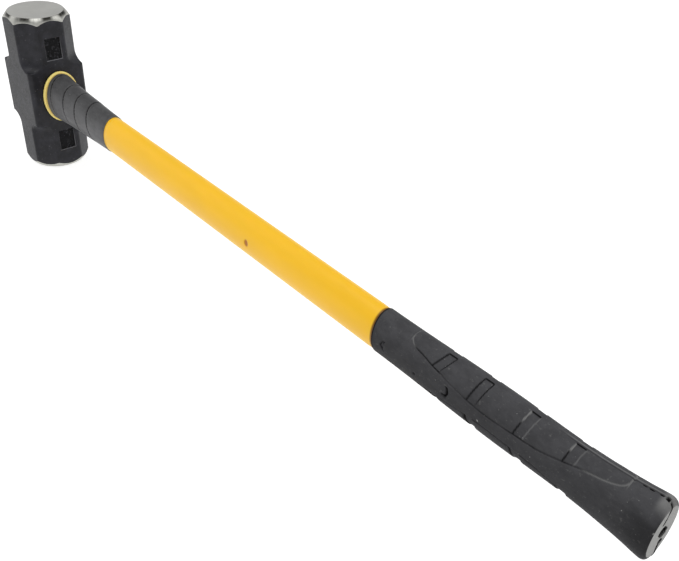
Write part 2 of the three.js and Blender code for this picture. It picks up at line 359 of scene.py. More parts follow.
def polished_steel(settings):
    """Polished carbon steel striking face: even grey sheen with a trace of belt lines one way across it."""
    material, tree, shader = start_material("polished_carbon_steel", 0.32, 1.0)
    lines = pattern(tree, 0.6, object_coordinates(tree, (1, 0.06, 1)), 2)
    clouds = pattern(tree, 18, object_coordinates(tree), 2)
    base = blend(tree, clouds, darker(settings.polished, 0.85), darker(settings.polished, 1.1))
    feed(tree, shader, base, remap(tree, lines, 0.3, 0.7, 0.28, 0.38), bump(tree, lines, 0.015, 0.4))
    return material


def fibreglass():
    """Pultruded glass rod: pale straw resin full of lengthwise glass, cut ends show a fine speckle."""
    material, tree, shader = start_material("pultruded_fibreglass", 0.5, 0.0, 1.53)
    fibres = pattern(tree, 0.7, object_coordinates(tree, (0.03, 1, 1)), 3)
    base = blend(tree, fibres, rgb("#a89c62"), rgb("#e2dab0"))
    feed(tree, shader, base, normal=bump(tree, fibres, 0.06, 0.4))
    return material


def set_resin():
    """Poured epoxy in the eye: dark amber, smooth with a few bubbles and a dull skin."""
    material, tree, shader = start_material("set_epoxy_resin", 0.3, 0.0, 1.55)
    where = object_coordinates(tree)
    swirl = pattern(tree, 6, where, 4)
    bubbles = add_node(tree, "ShaderNodeTexVoronoi", inputs={"Scale": 1 / (3.5 * MM)},
                       links={"Vector": where})
    hollow = remap(tree, bubbles.outputs["Distance"], 0.0, 0.25, 0.0, 1.0, True)
    base = blend(tree, swirl, rgb("#2b241b"), rgb("#5a4a34"))
    feed(tree, shader, base, remap(tree, swirl, 0.3, 0.7, 0.22, 0.45), bump(tree, hollow, 0.3, 0.5))
    return material


def moulded_jacket(settings):
    """Injection moulded polypropylene, yellow: soft sheen, slow flow shading, fine mould texture."""
    material, tree, shader = start_material("moulded_yellow_polypropylene", 0.45, 0.0, 1.49, 0.25)
    let_light_in(shader, 0.08, (0.004, 0.002, 0.001))
    where = object_coordinates(tree)
    flow = pattern(tree, 26, object_coordinates(tree, (0.35, 1, 1)), 3)
    skin = pattern(tree, 0.9, where, 2)
    grime = pattern(tree, 3.2, where, 4, 0.65)
    base = blend(tree, remap(tree, flow, 0.3, 0.7, 0.0, 1.0), darker(settings.jacket, 0.93), settings.jacket)
    marked = remap(tree, grime, 0.68, 0.8, 0.0, 0.22, True)
    base = blend(tree, marked, base, rgb("#b98618"))
    along = separated(tree, where)["X"]
    # Painted shadow: dark orange from about three millimetres before the grip's end onward.
    shadow_near_grip = remap(tree, along, GRIP_LOW.x - 0.0028, GRIP_LOW.x - 0.0008, 0.0, 0.95, True)
    base = blend(tree, shadow_near_grip, base, rgb("#6a430a"))
    # Painted shade: dark orange in the pin mark's dimple.
    base = blend(tree, painted(tree, "sunk"), base, rgb("#a86200"))
    waves = bump(tree, flow, 0.4, 0.25)
    feed(tree, shader, base, remap(tree, skin, 0.3, 0.7, 0.3, 0.44), bump(tree, skin, 0.02, 0.5, waves))
    return material


def seal_polymer(settings):
    """Soft cast polymer seal: pale yellow, smooth and a little translucent, with painted shade at the back
    against the steel and at the front against the guard.
    """
    material, tree, shader = start_material("cast_pale_yellow_polymer", 0.42, 0.0, 1.46)
    let_light_in(shader, 0.15, (0.003, 0.002, 0.001))
    where = object_coordinates(tree)
    clouds = pattern(tree, 7, where, 3)
    along = separated(tree, where)["X"]
    # Painted shade: darker at the back against the head and on the front face beside the guard.
    shade_near_head = remap(tree, along, COLLAR_LOW.x, COLLAR_LOW.x + 0.0016, 0.9, 0.0, True)
    shade_near_guard = remap(tree, along, COLLAR_HIGH.x - 0.0006, COLLAR_HIGH.x - 0.0001, 0.0, 0.25, True)
    base = blend(tree, clouds, darker(settings.collar, 0.92), settings.collar)
    base = blend(tree, shade_near_guard, base, rgb("#d8a23a"))
    base = blend(tree, shade_near_head, base, rgb("#6d6030"))
    feed(tree, shader, base, normal=bump(tree, clouds, 0.1, 0.3))
    return material


def moulded_rubber(name, rubber, side, top, roughness):
    """Moulded rubber, dark grey: matt eroded mould skin, dust, scuffs and lint, black painted shade in sunk
    lines, paler on wear and on painted highlights.

    side and top scale the rubber's colour where it faces sideways or down, and up: painted light and shade.
    """
    material, tree, shader = start_material(name, roughness, 0.0, 1.5, 0.12)
    where = object_coordinates(tree)
    skin = pattern(tree, 0.8, where, 3, 0.6)
    dust = pattern(tree, 9, object_coordinates(tree, (0.6, 1, 1)), 5, 0.7)
    scuff = pattern(tree, 2.6, where, 4, 0.65)
    lint = pattern(tree, 1.3, where, 1)
    facing = separated(tree, add_node(tree, "ShaderNodeNewGeometry").outputs["Normal"])
    # Painted light and shade: the colour is scaled by side on faces turned sideways or down and by top on
    # faces turned up.
    up = remap(tree, facing["Z"], -0.2, 0.8, 0.0, 1.0, True)
    dusted = remap(tree, dust, 0.32, 0.68, 0.0, 1.0, True)
    cloudy = blend(tree, dusted, (0.86, 0.86, 0.86), (1.18, 1.18, 1.18))
    base = blend(tree, up, darker(rubber, side), darker(rubber, top))
    base = blend(tree, 1.0, base, cloudy, "MULTIPLY")
    base = blend(tree, remap(tree, scuff, 0.58, 0.75, 0.0, 0.4, True), base, rgb("#6c6c6a"))
    base = blend(tree, remap(tree, lint, 0.76, 0.82, 0.0, 0.6, True), base, rgb("#9a9a98"))
    # Paler on real wear and on painted highlights; near black as painted shade in sunk lines, nicks, tears
    # and holes.
    base = blend(tree, painted(tree, "wear_and_highlight"), base, rgb("#a0a09e"))
    sunk = painted(tree, "sunk")
    base = blend(tree, sunk, base, rgb("#020203"))
    sheen = remap(tree, skin, 0.3, 0.7, roughness - 0.08, roughness + 0.08)
    feed(tree, shader, base, arithmetic(tree, "MAXIMUM", sheen, sunk), bump(tree, skin, 0.08, 0.6))
    return material


def pale_table():
    """Lit acrylic table top: white, even and without texture."""
    material, _tree, shader = start_material("lit_white_acrylic", 0.6, 0.0, 1.49)
    shader.inputs["Base Color"].default_value = (0.4, 0.4, 0.4, 1)
    shader.inputs["Emission Color"].default_value = (1, 1, 1, 1)
    shader.inputs["Emission Strength"].default_value = 0.75
    return material


# ---------------------------------------------------------------- head

# Material slots of the head; slot 0 is the lacquer.
GROUND, POLISHED = 1, 2
SCOOP_STEPS = 7
LEAST_CHAMFER = 0.0027
# Turns in degrees and heights in metres of the rows of edges that the eye is cut along.
EYE_TURN = 27.5
EYE_ROWS = (0.006, 0.012, 0.018, 0.0245)
# Half width and half height of the eye: at the handle's side, at the far side and at mid head.
EYE_NEAR, EYE_FAR, EYE_MIDDLE = (0.013, 0.0192), (0.0146, 0.0216), (0.0138, 0.0204)
# Round the mouth of the eye: how far in from the cheek, and how much wider than the mouth.
EYE_LIP = ((0.0, 0.0009), (0.0003, 0.0003), (0.0012, 0.0))


def face_height(settings, radius):
    """Height above mid head of the ground cone at that distance from the head's axis."""
    land = settings.face_radius + settings.face_edge
    return (HEAD_HIGH.z - HEAD_LOW.z) / 2 - settings.face_edge - (radius - land) * settings.grind_slope


def corner_cut(settings, height):
    """Where the flat ends and the corner facet starts, across the flat, at a height above mid head."""
    half = HEAD_HIGH.y
    facet = (half + settings.facet_half) / math.sqrt(2)
    down = min(settings.scoop_start - height, settings.scoop_radius)
    if down > 0:
        facet += settings.scoop_radius - math.sqrt(settings.scoop_radius ** 2 - down ** 2)
    return min(facet * math.sqrt(2) - half, half - LEAST_CHAMFER)


def upper_walls(bm, settings):
    """Flats, corner facets and scoops of the upper half, drawn up ring by ring from mid head."""
    half = HEAD_HIGH.y
    top = (HEAD_HIGH.z - HEAD_LOW.z) / 2
    low = settings.scoop_start - settings.scoop_radius
    turns = [math.radians(90 * i / SCOOP_STEPS) for i in range(SCOOP_STEPS)]
    heights = [low + 1e-7] + [settings.scoop_start - settings.scoop_radius * math.cos(t) for t in turns[1:]]
    heights = [0.0, low - 0.002] + heights + [settings.scoop_start, top]
    ring = bmesh.ops.create_circle(bm, segments=8, radius=half)["verts"]
    ring.sort(key=lambda v: math.atan2(v.co.y, v.co.x))
    edges = bm.edges[:]
    for level, height in enumerate(heights):
        if level:
            made = bmesh.ops.extrude_edge_only(bm, edges=edges)["geom"]
            edges = [g for g in made if isinstance(g, bmesh.types.BMEdge)
                     and all(v in made for v in g.verts)]
            ring = [g for g in made if isinstance(g, bmesh.types.BMVert)]
            ring.sort(key=lambda v: math.atan2(v.co.y, v.co.x))
        cut = corner_cut(settings, height)
        corners = [(sx * a, sy * b) for sx in (1, -1) for sy in (1, -1)
                   for a, b in ((half, cut), (cut, half))]
        corners.sort(key=lambda corner: math.atan2(corner[1], corner[0]))
        for vert, (x, y) in zip(ring, corners):
            vert.co = (x, y, height)
    return edges


def cut_rows(bm, places, axis):
    """Cuts new rows of edges through the mesh, square to an axis, at each place."""
    for place in places:
        bmesh.ops.bisect_plane(bm, geom=bm.verts[:] + bm.edges[:] + bm.faces[:], dist=1e-7,
                               plane_co=axis * place, plane_no=axis)


def grind_end(bm, settings):
    """Grinds the top: walls end on the cone, then the cone, the land and the polished flat follow."""
    rim = [e for e in bm.edges if e.is_boundary and all(v.co.z > settings.scoop_start for v in e.verts)]
    for vert in {v for e in rim for v in e.verts}:
        vert.co.z = face_height(settings, vert.co.xy.length)
    land = settings.face_radius + settings.face_edge
    top = (HEAD_HIGH.z - HEAD_LOW.z) / 2
    rings = [(land * 1.03, GROUND), (land, GROUND), (settings.face_radius, GROUND),
             (settings.face_radius - 0.0015, POLISHED), (settings.face_radius * 0.5, POLISHED)]
    for radius, index in rings:
        made = bmesh.ops.extrude_edge_only(bm, edges=rim)["geom"]
        for vert in (g for g in made if isinstance(g, bmesh.types.BMVert)):
            flat = vert.co.xy.normalized() * radius
            vert.co = (flat.x, flat.y, min(top, face_height(settings, radius)) if radius >= land else top)
        for face in (g for g in made if isinstance(g, bmesh.types.BMFace)):
            face.material_index = index
        rim = [g for g in made if isinstance(g, bmesh.types.BMEdge) and g.is_boundary]
    centre = bmesh.ops.contextual_create(bm, geom=rim)["faces"]
    for face in centre:
        face.material_index = POLISHED
    bmesh.ops.poke(bm, faces=centre)


def cut_eye(bm, side, mouth):
    """Opens the oval eye in one cheek and carries its wall to mid head; the mouth is its two half sizes."""
    half = HEAD_HIGH.x
    reach_y = half * math.tan(math.radians(EYE_TURN))
    window = [f for f in bm.faces if side * f.calc_center_median().x > half - 1e-5
              and abs(f.calc_center_median().y) < reach_y and abs(f.calc_center_median().z) < EYE_ROWS[-1]]
    rim = list({e for f in window for e in f.edges if sum(g in window for g in e.link_faces) == 1})
    bmesh.ops.delete(bm, geom=window, context="FACES")
    rings = [(half - back, mouth[0] + wider, mouth[1] + wider) for back, wider in EYE_LIP]
    for x, y_half, z_half in (*rings, (0.0, *EYE_MIDDLE)):
        made = bmesh.ops.extrude_edge_only(bm, edges=rim)["geom"]
        for vert in (g for g in made if isinstance(g, bmesh.types.BMVert)):
            away = math.hypot(vert.co.y / y_half, vert.co.z / z_half)
            vert.co = (side * x, vert.co.y / away, vert.co.z / away)
        rim = [g for g in made if isinstance(g, bmesh.types.BMEdge) and g.is_boundary]


def sink_panels(bm, settings):
    """Presses flat rectangular panels into the two cheeks square to the handle, above and below the eye, with
    painted highlights on their rims and painted shade in them.
    """
    half = HEAD_HIGH.x
    sunk = bm.verts.layers.float.new("sunk")
    wear_and_highlight = bm.verts.layers.float.new("wear_and_highlight")
    bmesh.ops.recalc_face_normals(bm, faces=bm.faces)
    for side in (1, -1):
        for end in (1, -1):
            middle = Vector((side * half, 0.0, end * settings.panel_centre))
            offsets = [(f, f.calc_center_median() - middle) for f in bm.faces]
            faces = [f for f, off in offsets if side * off.x > -1e-5 and abs(off.y) < settings.panel_width / 2
                     and abs(off.z) < settings.panel_height / 2]
            bmesh.ops.inset_region(bm, faces=faces, thickness=0.0003, depth=-0.0002, use_even_offset=True)
            # Painted highlight on the first rim: strong on the lower sill, weak elsewhere.
            sill = end * settings.panel_centre - settings.panel_height / 2 + 0.001
            for vert in {v for f in faces for v in f.verts}:
                vert[wear_and_highlight] = 0.9 if vert.co.z < sill else 0.1
            bmesh.ops.inset_region(bm, faces=faces, thickness=0.0004, depth=-settings.panel_depth + 0.0005,
                                   use_even_offset=True)
            # Painted shade on the walls and floor of the recess.
            for vert in {v for f in faces for v in f.verts}:
                vert[wear_and_highlight] = 0.0
                vert[sunk] = 1.0
            bmesh.ops.inset_region(bm, faces=faces, thickness=0.0008, depth=-0.0003, use_even_offset=True)
            for vert in {v for f in faces for v in f.verts}:
                vert[sunk] = 0.85


class HAMMER_OT_head(bpy.types.Operator):
    """Forged double-faced head with its eye, sunk panels and ground faces"""
    bl_idname = "hammer.head"
    bl_label = "Forged head"

    def execute(self, context):
        settings = context.scene.hammer_head
        bm = bmesh.new()
        upper_walls(bm, settings)
        long_edges = [e for e in bm.edges if abs(e.verts[0].co.z - e.verts[1].co.z) > 1e-8]
        bmesh.ops.bevel(bm, geom=long_edges, offset=settings.edge_round, offset_type="OFFSET",
                        affect="EDGES", segments=3, profile=0.5, material=-1, clamp_overlap=True)
        panel = math.degrees(math.atan(settings.panel_width / 2 / HEAD_HIGH.x))
        turns = (0, panel / 3, panel * 2 / 3, panel, (panel + EYE_TURN) / 2, EYE_TURN, 33, 39)
        for turn in sorted({a for t in turns for a in (t, -t, 90 - t, t - 90)} | {45, -45}):
            axis = Vector((-math.sin(math.radians(turn)), math.cos(math.radians(turn)), 0))
            cut_rows(bm, (0.0,), axis)
        low = settings.panel_centre - settings.panel_height / 2
        cut_rows(bm, (*EYE_ROWS, low, low + settings.panel_height), Vector((0, 0, 1)))
        grind_end(bm, settings)
        bmesh.ops.mirror(bm, geom=bm.verts[:] + bm.edges[:] + bm.faces[:], matrix=Matrix.Identity(4),
                         merge_dist=1e-7, axis="Z")
        sink_panels(bm, settings)
        cut_eye(bm, 1, EYE_NEAR)
        cut_eye(bm, -1, EYE_FAR)
        bmesh.ops.translate(bm, verts=bm.verts, vec=(0, 0, HANDLE_Z))
        materials = [lacquered_forging(settings), ground_steel(settings), polished_steel(settings)]
        piece = new_piece("hammer_head", finish_mesh(bm, "hammer_head"), materials)
        piece.modifiers.new("even_flats", "WEIGHTED_NORMAL").keep_sharp = True
        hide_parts("forged_steel_head")
        return {"FINISHED"}


# ---------------------------------------------------------------- eye: rod end, resin and collar

class HAMMER_OT_eye_fillers(bpy.types.Operator):
    """Finishes of the rod and the resin that fill the eye"""
    bl_idname = "hammer.eye_fillers"
    bl_label = "Rod and resin"

    def execute(self, context):
        for node, make in (("fibreglass_core_rod", fibreglass), ("eye_bonding_resin", set_resin)):
            mesh_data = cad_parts[node].data
            mesh_data.materials.clear()
            mesh_data.materials.append(make())
        return {"FINISHED"}


COLLAR_ROUND, COLLAR_FACE = 0.0024, 0.0045


class HAMMER_OT_collar(bpy.types.Operator):
    """Pale seal collar where the handle leaves the eye"""
    bl_idname = "hammer.collar"
    bl_label = "Seal collar"

    def execute(self, context):
        settings = context.scene.hammer_handle
        half_y = COLLAR_HIGH.y - 0.0006
        half_z = COLLAR_HIGH.z - HANDLE_Z - 0.0005
        start, end = COLLAR_LOW.x, COLLAR_HIGH.x
        crown = half_z - COLLAR_ROUND
        profile = [(ROD_BORE, start), (crown, start)]
        for turn in (math.radians(i) for i in range(-80, 91, 17)):
            profile.append((crown + COLLAR_ROUND * math.cos(turn),
                            (start + end) / 2 + (end - start) / 2 * math.sin(turn)))
        profile += [(half_z - COLLAR_FACE, end), (ROD_BORE, end), (ROD_BORE, start)]
        bm = spun(profile, lambda x: half_y / half_z, 96)
        piece = new_piece("seal_collar", finish_mesh(bm, "seal_collar"), [seal_polymer(settings)])
        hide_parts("eye_seal_collar")
        return {"FINISHED"}


# ---------------------------------------------------------------- handle jacket

# Mould pin mark on the near flank: place along the handle, height, radius, how much taller than wide, depth.
PIN_X, PIN_HEIGHT, PIN_RADIUS, PIN_TALL, PIN_DEPTH = 0.3932, 0.0004, 0.0028, 1.3, 0.0004
NECK = 0.0179


def press_in(vert, depth):
    """Moves a point of the sleeve straight in towards the handle's axis."""
    out = Vector((0, vert.co.y, vert.co.z - HANDLE_Z))
    if out.length > 0:
        vert.co -= out.normalized() * depth


def spot(x, height, x_mid, height_mid, radius):
    return 1 - ease(radius * 0.6, radius * 1.2, math.hypot(x - x_mid, height - height_mid))


class HAMMER_OT_jacket(bpy.types.Operator):
    """Yellow moulded jacket over the rod, with one mould pin mark"""
    bl_idname = "hammer.jacket"
    bl_label = "Yellow jacket"

    def execute(self, context):
        settings = context.scene.hammer_handle
        shaft = settings.shaft_half
        start, end = JACKET_LOW.x, JACKET_HIGH.x
        shoulder, stop = GUARD_HIGH.x + 0.0003, GRIP_LOW.x - 0.0003
        profile = [(ROD_BORE, start), (NECK, start), (NECK, shoulder), (shaft - 0.0004, shoulder),
                   (shaft, shoulder + 0.0004)]
        rows = [shoulder + (stop - shoulder) * i / 60 for i in range(1, 60)]
        rows += [PIN_X + 0.0003 * i for i in range(-13, 14)]
        profile += [(shaft, x) for x in sorted(rows)]
        profile += [(shaft - 0.0004, stop), (NECK, stop), (NECK, end), (ROD_BORE, end), (ROD_BORE, start)]
        bm = spun(profile, lambda x: settings.oval, 240)
        sunk = bm.verts.layers.float.new("sunk")
        for vert in bm.verts:
            if vert.co.y < -0.8 * settings.oval * shaft:
                deep = spot(vert.co.x, (vert.co.z - HANDLE_Z) / PIN_TALL, PIN_X, PIN_HEIGHT, PIN_RADIUS)
                press_in(vert, PIN_DEPTH * deep)
                # Painted shade: the pin mark is darkened as deep as it is pressed in.
                vert[sunk] = deep
        piece = new_piece("yellow_jacket", finish_mesh(bm, "yellow_jacket"), [moulded_jacket(settings)])
        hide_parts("handle_jacket")
        return {"FINISHED"}


# ---------------------------------------------------------------- rubber guard

GUARD_HALF = through([(36.5, 27.0), (55, 25.0), (82, 23.2), (106, 22.2), (130, 20.9), (151, 20.1)])
GUARD_RINGS = (0.045, 0.0705, 0.094, 0.1185)
GUARD_ROWS = 190


def around_handle(vert, ratio):
    """Turn of a point round the oval handle, in radians, 0 at the +Y flank and up through the top."""
    return math.atan2(vert.co.z - HANDLE_Z, vert.co.y / ratio)


class HAMMER_OT_guard(bpy.types.Operator):
    """Overstrike guard: a tapering rubber sleeve with four slanting rings"""
    bl_idname = "hammer.guard"
    bl_label = "Overstrike guard"

    def execute(self, context):
        settings = context.scene.hammer_handle
        start, end = GUARD_LOW.x, GUARD_HIGH.x
        profile = [(SLEEVE_BORE, start)]
        for i in range(GUARD_ROWS + 1):
            x = start + (end - start) * i / GUARD_ROWS
            lip = 0.0007 * (1 - ease(0, 0.0016, end - x)) + 0.0004 * (1 - ease(0, 0.001, x - start))
            profile.append((GUARD_HALF(x) - lip, x))
        profile += [(SLEEVE_BORE, end), (SLEEVE_BORE, start)]
        bm = spun(profile, lambda x: settings.oval, 160)
        sunk = bm.verts.layers.float.new("sunk")
        wear_and_highlight = bm.verts.layers.float.new("wear_and_highlight")
        for vert in bm.verts:
            x = vert.co.x
            high = math.sin(around_handle(vert, settings.oval))
            out = math.hypot(vert.co.y / settings.oval, vert.co.z - HANDLE_Z)
            if out < GUARD_HALF(x) - 0.0015:
                continue
            for ring in GUARD_RINGS:
                off = x - (ring - settings.guard_slant * high)
                deep = groove(off, settings.groove_width / 2, 0.0009)
                press_in(vert, deep * settings.groove_depth)
                # Painted shade in each ring's groove, and a painted highlight beside it and along the guard's
                # end lip.
                vert[sunk] = max(vert[sunk], groove(off + 0.0002, 0.0005, 0.0005))
                vert[wear_and_highlight] = max(vert[wear_and_highlight], 0.12 * groove(off - 0.0013, 0.0003, 0.0006))
            vert[wear_and_highlight] = max(vert[wear_and_highlight], 0.12 * groove(end - x - 0.0006, 0.0002, 0.0006))
        # Painted highlight: the guard's flanks are painted lighter than its top.
        rubber = moulded_rubber("moulded_guard_rubber", settings.guard_rubber, 2.35, 1.3, 0.42)
        piece = new_piece("overstrike_sleeve", finish_mesh(bm, "overstrike_sleeve"), [rubber])
        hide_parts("overstrike_guard")
        return {"FINISHED"}


# ---------------------------------------------------------------- rubber grip

GRIP_HALF = through([(548.2, 19.9), (572, 20), (597, 20.4), (621, 21), (650, 21.4), (671, 21.4), (692, 20.9),
                     (718, 20.6), (736, 21.1), (748, 22.1), (757, 23), (766, 24.2), (774, 25.5),
                     (779.7, 26.1), (782.2, 26.1)])
LEAF_EDGE = through([(581.3, 24), (581.8, 20), (583, 17.6), (588, 15.2), (598, 13.7), (605, 12.2),
                     (615, 10.6), (623, 8.8), (640, 6.5), (655, 5.4), (668, 5.6), (680, 6.3), (698, 7.2),
                     (708, 9), (725, 13.1), (736, 15.2), (742, 16.3), (751, 18.7), (755.5, 21), (757, 24),
                     (757.4, 28)])
# Where the closed end of the sleeve starts inside, and how far apart its rows of edges are.
GRIP_FLOOR, GRIP_STEP = 0.775, 0.0006
LEAF_START, LEAF_END = 0.5815, 0.7572
# Bands: middle at the spine, lean to the foot, how clean the top of the left and right edges are rubbed.
GRIP_BANDS = ((0.6155, 0.0065, 0.0), (0.648, 0.004, 0.0), (0.6865, 0.003, 1.0), (0.721, 0.001, 1.0))
# Painted shade in the leaf's outline groove: place along the handle in millimetres and darkness in
# thousandths.
OUTLINE_SHADE = through([(585, 0), (589, 700), (604, 800), (606, 950), (613, 950), (617, 150), (636, 150),
                        (641, 700), (648, 650), (672, 500), (679, 900), (690, 800), (705, 450), (714, 450),
                        (717, 900), (724, 600), (735, 100), (757, 0)])
FLARE_START, FLARE_RATIO = 0.730, 0.585
BUTT_FLAT_Z, BUTT_FLAT_Y = 0.0203, 0.0143
BUTT_ROUND, BUTT_EDGE = 0.0052, 0.001
SEAM_START = 0.700
# Nicks on the grip: place along the handle, height, then the reach and bow of a crescent or a spot's radius.
CRESCENTS = ((0.5592, -0.0005, 0.0044, 0.0024), (0.6246, 0.0008, 0.0044, -0.0018),
             (0.6410, -0.0100, 0.0026, 0.0))
SPOTS = ((0.5594, -0.001, 0.0019), (0.5598, 0.0014, 0.0013), (0.6228, -0.0034, 0.0015),
         (0.6208, -0.0031, 0.0011), (0.593, -0.0044, 0.0012))
# Tears in the seam: place along the handle, half length and half width.
SEAM_TEARS = ((0.757, 0.0006, 0.0006), (0.764, 0.0013, 0.0007), (0.7684, 0.0016, 0.0008),
              (0.7745, 0.0012, 0.0008), (0.7785, 0.0011, 0.0016), (0.7816, 0.0013, 0.0009))
# Straight tears in the butt face in millimetres: start and end (across, up), half width, depth.
BUTT_TEARS = (((-0.2, 22), (-0.4, 16.4), 1.0, 1.6), ((-0.5, 16), (-1.2, 12), 0.5, 1.0),
              ((-1.3, 11.8), (-2.7, 8.6), 1.1, 1.8), ((-0.4, 0.6), (3.0, -3.0), 3.7, 5.4),
              ((1.7, -9.9), (3.9, -12.1), 1.8, 3.0), ((1.1, -13.6), (1.9, -14.8), 1.2, 1.8),
              ((1.5, -16.0), (2.2, -21.5), 1.2, 1.0))


def rounded_end(full, flat, length, x):
    """Falls from full to flat along a quarter ellipse that ends at the butt."""
    t = min(1.0, max(0.0, (x - BUTT_X + length) / length))
    return flat + (full - flat) * math.sqrt(1 - t * t)


def grip_half(x):
    return rounded_end(GRIP_HALF(x), BUTT_FLAT_Z, BUTT_ROUND, x)


def grip_ratio(x):
    ratio = OVAL - (OVAL - FLARE_RATIO) * ease(FLARE_START, BUTT_X, x)
    if x <= BUTT_X - BUTT_ROUND:
        return ratio
    return rounded_end(GRIP_HALF(x) * ratio, BUTT_FLAT_Y, BUTT_EDGE, x) / grip_half(x)


def leaf_inside(x, height):
    """Distance in metres over the rubber from the leaf's outline: positive inside the leaf."""
    half = GRIP_HALF(x)
    rise = min(0.999, height / half)
    level = math.sqrt(1 - rise * rise)
    climb = level / math.sqrt(level * level + (OVAL * rise) ** 2)
    slope = (LEAF_EDGE(x + 0.0003) - LEAF_EDGE(x - 0.0003)) / 0.0006
    return (height - LEAF_EDGE(x)) / math.hypot(slope, climb)


def crescent(x, height, x_mid, height_mid, reach, bow):
    """A short curved nick: 1 on its line, 0 away from it."""
    along = (height - height_mid) / reach
    if abs(along) > 1.15:
        return 0.0
    return groove(x - (x_mid + bow * along * along), 0.001, 0.0006) * (1 - ease(0.8, 1.15, abs(along)))


def mould_nicks(x, height):
    bows = [crescent(x, height, *nick) for nick in CRESCENTS]
    return max(bows + [spot(x, height, *nick) for nick in SPOTS])


def carve_leaf(vert, settings, sunk, wear_and_highlight):
    """Outline of the leaf and the bands across it; gives how deep the point sinks."""
    x = vert.co.x
    height = abs(vert.co.z - HANDLE_Z)
    inside = leaf_inside(x, height)
    line = groove(inside, 0.0005, 0.0006)
    depth = 0.00055 * line
    # Painted shade in the outline groove.
    outline_shade = min(1.0, max(0.0, OUTLINE_SHADE(x)))
    vert[sunk] = outline_shade * line
    tips = (1 - ease(0.586, 0.592, x)) + ease(0.726, 0.734, x)
    vert[wear_and_highlight] = 0.25 * tips * line
    from_spine = -vert.co.y if vert.co.y < 0 else vert.co.y - 0.005
    within = ease(-0.0004, 0.0004, inside) * ease(0.0004, 0.0012, from_spine)
    half = settings.band_width / 2
    for place, lean, rubbed in GRIP_BANDS:
        rise = GRIP_HALF(place) - LEAF_EDGE(place)
        off = x - (place + lean / rise * (height - GRIP_HALF(place)))
        depth = max(depth, settings.band_depth * within * groove(off, half, 0.0008))
        level = (height - LEAF_EDGE(place)) / rise
        light = rubbed * ease(0.55, 0.8, level)
        # Painted shade: dark lines along the band edges and beside the spine, where the walls meet the floor;
        # where rubbed is set the edge tops are pale instead.
        edge = within * groove(off + half - 0.0001, 0.0004, 0.0005)
        right = within * groove(off - half, 0.0006, 0.0005)
        spine = groove(from_spine - 0.0006, 0.0004, 0.0005) * groove(off, half, 0.0008)
        vert[sunk] = max(vert[sunk], edge * (1 - light), (1 - rubbed) * right * ease(-0.2, 0.5, level), spine)
        vert[wear_and_highlight] = max(vert[wear_and_highlight], 0.5 * light * edge, 0.15 * rubbed * right)
    return depth


def carve_side(vert, settings, sunk, wear_and_highlight):
    """Leaf, bands, mould nicks and the torn seam along the back of the sleeve."""
    x = vert.co.x
    height = vert.co.z - HANDLE_Z
    depth = 0.0
    if LEAF_START - 0.001 < x < LEAF_END + 0.001:
        depth = carve_leaf(vert, settings, sunk, wear_and_highlight)
    if vert.co.y < 0 and (0.553 < x < 0.658 or x > 0.752):
        # Painted shade in the mould nicks.
        nick = mould_nicks(x, height)
        depth = max(depth, 0.0012 * nick)
        vert[sunk] = max(vert[sunk], nick)
        # A pale dot, and a painted glint on the butt's edge.
        vert[wear_and_highlight] = max(vert[wear_and_highlight], 0.9 * spot(x, height, 0.653, -0.0027, 0.0007),
                         spot(x, height, BUTT_X - 0.0004, 0.0092, 0.0005))
        # Painted shade on the near flank towards the butt.
        shade = ease(0.752, 0.779, x) * (1 - ease(0.010, 0.019, abs(height)))
        vert[sunk] = max(vert[sunk], 0.5 * shade * (1 - vert[wear_and_highlight]))
    if height > 0 and x > SEAM_START:
        # Painted shade along the seam's groove, with a painted highlight on its far side.
        seam = groove(vert.co.y, 0.0004, 0.0006) * ease(SEAM_START, SEAM_START + 0.02, x)
        pale = groove(vert.co.y - 0.0014, 0.0005, 0.001) * ease(SEAM_START, SEAM_START + 0.02, x)
        # The rounded top corner near the butt is paler, partly from wear and dust and partly painted light
        # from above.
        corner = 0.35 * ease(BUTT_X - 0.009, BUTT_X - 0.004, x) * (1 - ease(0.004, 0.011, abs(vert.co.y)))
        vert[wear_and_highlight] = max(vert[wear_and_highlight], 0.25 * pale, corner)
        vert[sunk] = max(vert[sunk], 0.45 * seam)
        depth = max(depth, 0.0003 * seam)
        # Painted shade in the seam's tears.
        for place, along, across in SEAM_TEARS:
            tear = groove(x - place, along, 0.0006) * groove(vert.co.y, across, 0.0006)
            depth = max(depth, 0.0014 * tear)
            vert[sunk] = max(vert[sunk], tear)
    if height < 0 and x > BUTT_X - 0.004:
        flash = groove(vert.co.y - 0.002, 0.0011, 0.0008) * ease(BUTT_X - 0.004, BUTT_X - 0.0025, x)
        depth -= 0.0017 * flash
        vert[sunk] = max(vert[sunk], flash)
    press_in(vert, depth)


def carve_butt(vert, sunk, wear_and_highlight):
    """Torn seam down the middle of the cut butt face, and the deep hole of the core pin, with painted shade
    inside them; the whole face is pale.
    """
    here = Vector((vert.co.y, vert.co.z - HANDLE_Z)) / MM
    deep = 0.0
    for start, end, half, depth in BUTT_TEARS:
        start, end = Vector(start), Vector(end)
        along = min(1.0, max(0.0, (here - start).dot(end - start) / (end - start).length_squared))
        away = (here - start.lerp(end, along)).length
        tear = 1 - ease(half, half + 0.5, away)
        # Painted shade in the tears and the pin's hole, lighter on the torn flap.
        vert[sunk] = max(vert[sunk], tear)
        deep = max(deep, depth * (1 - ease(half - 0.6, half + 0.2, away)))
    flap = 1 - ease(0.6, 1.5, (here - Vector((3.2, -5.0))).length)
    vert[sunk] *= 1 - 0.6 * flap
    vert[wear_and_highlight] = 0.95
    vert.co.x -= deep * MM


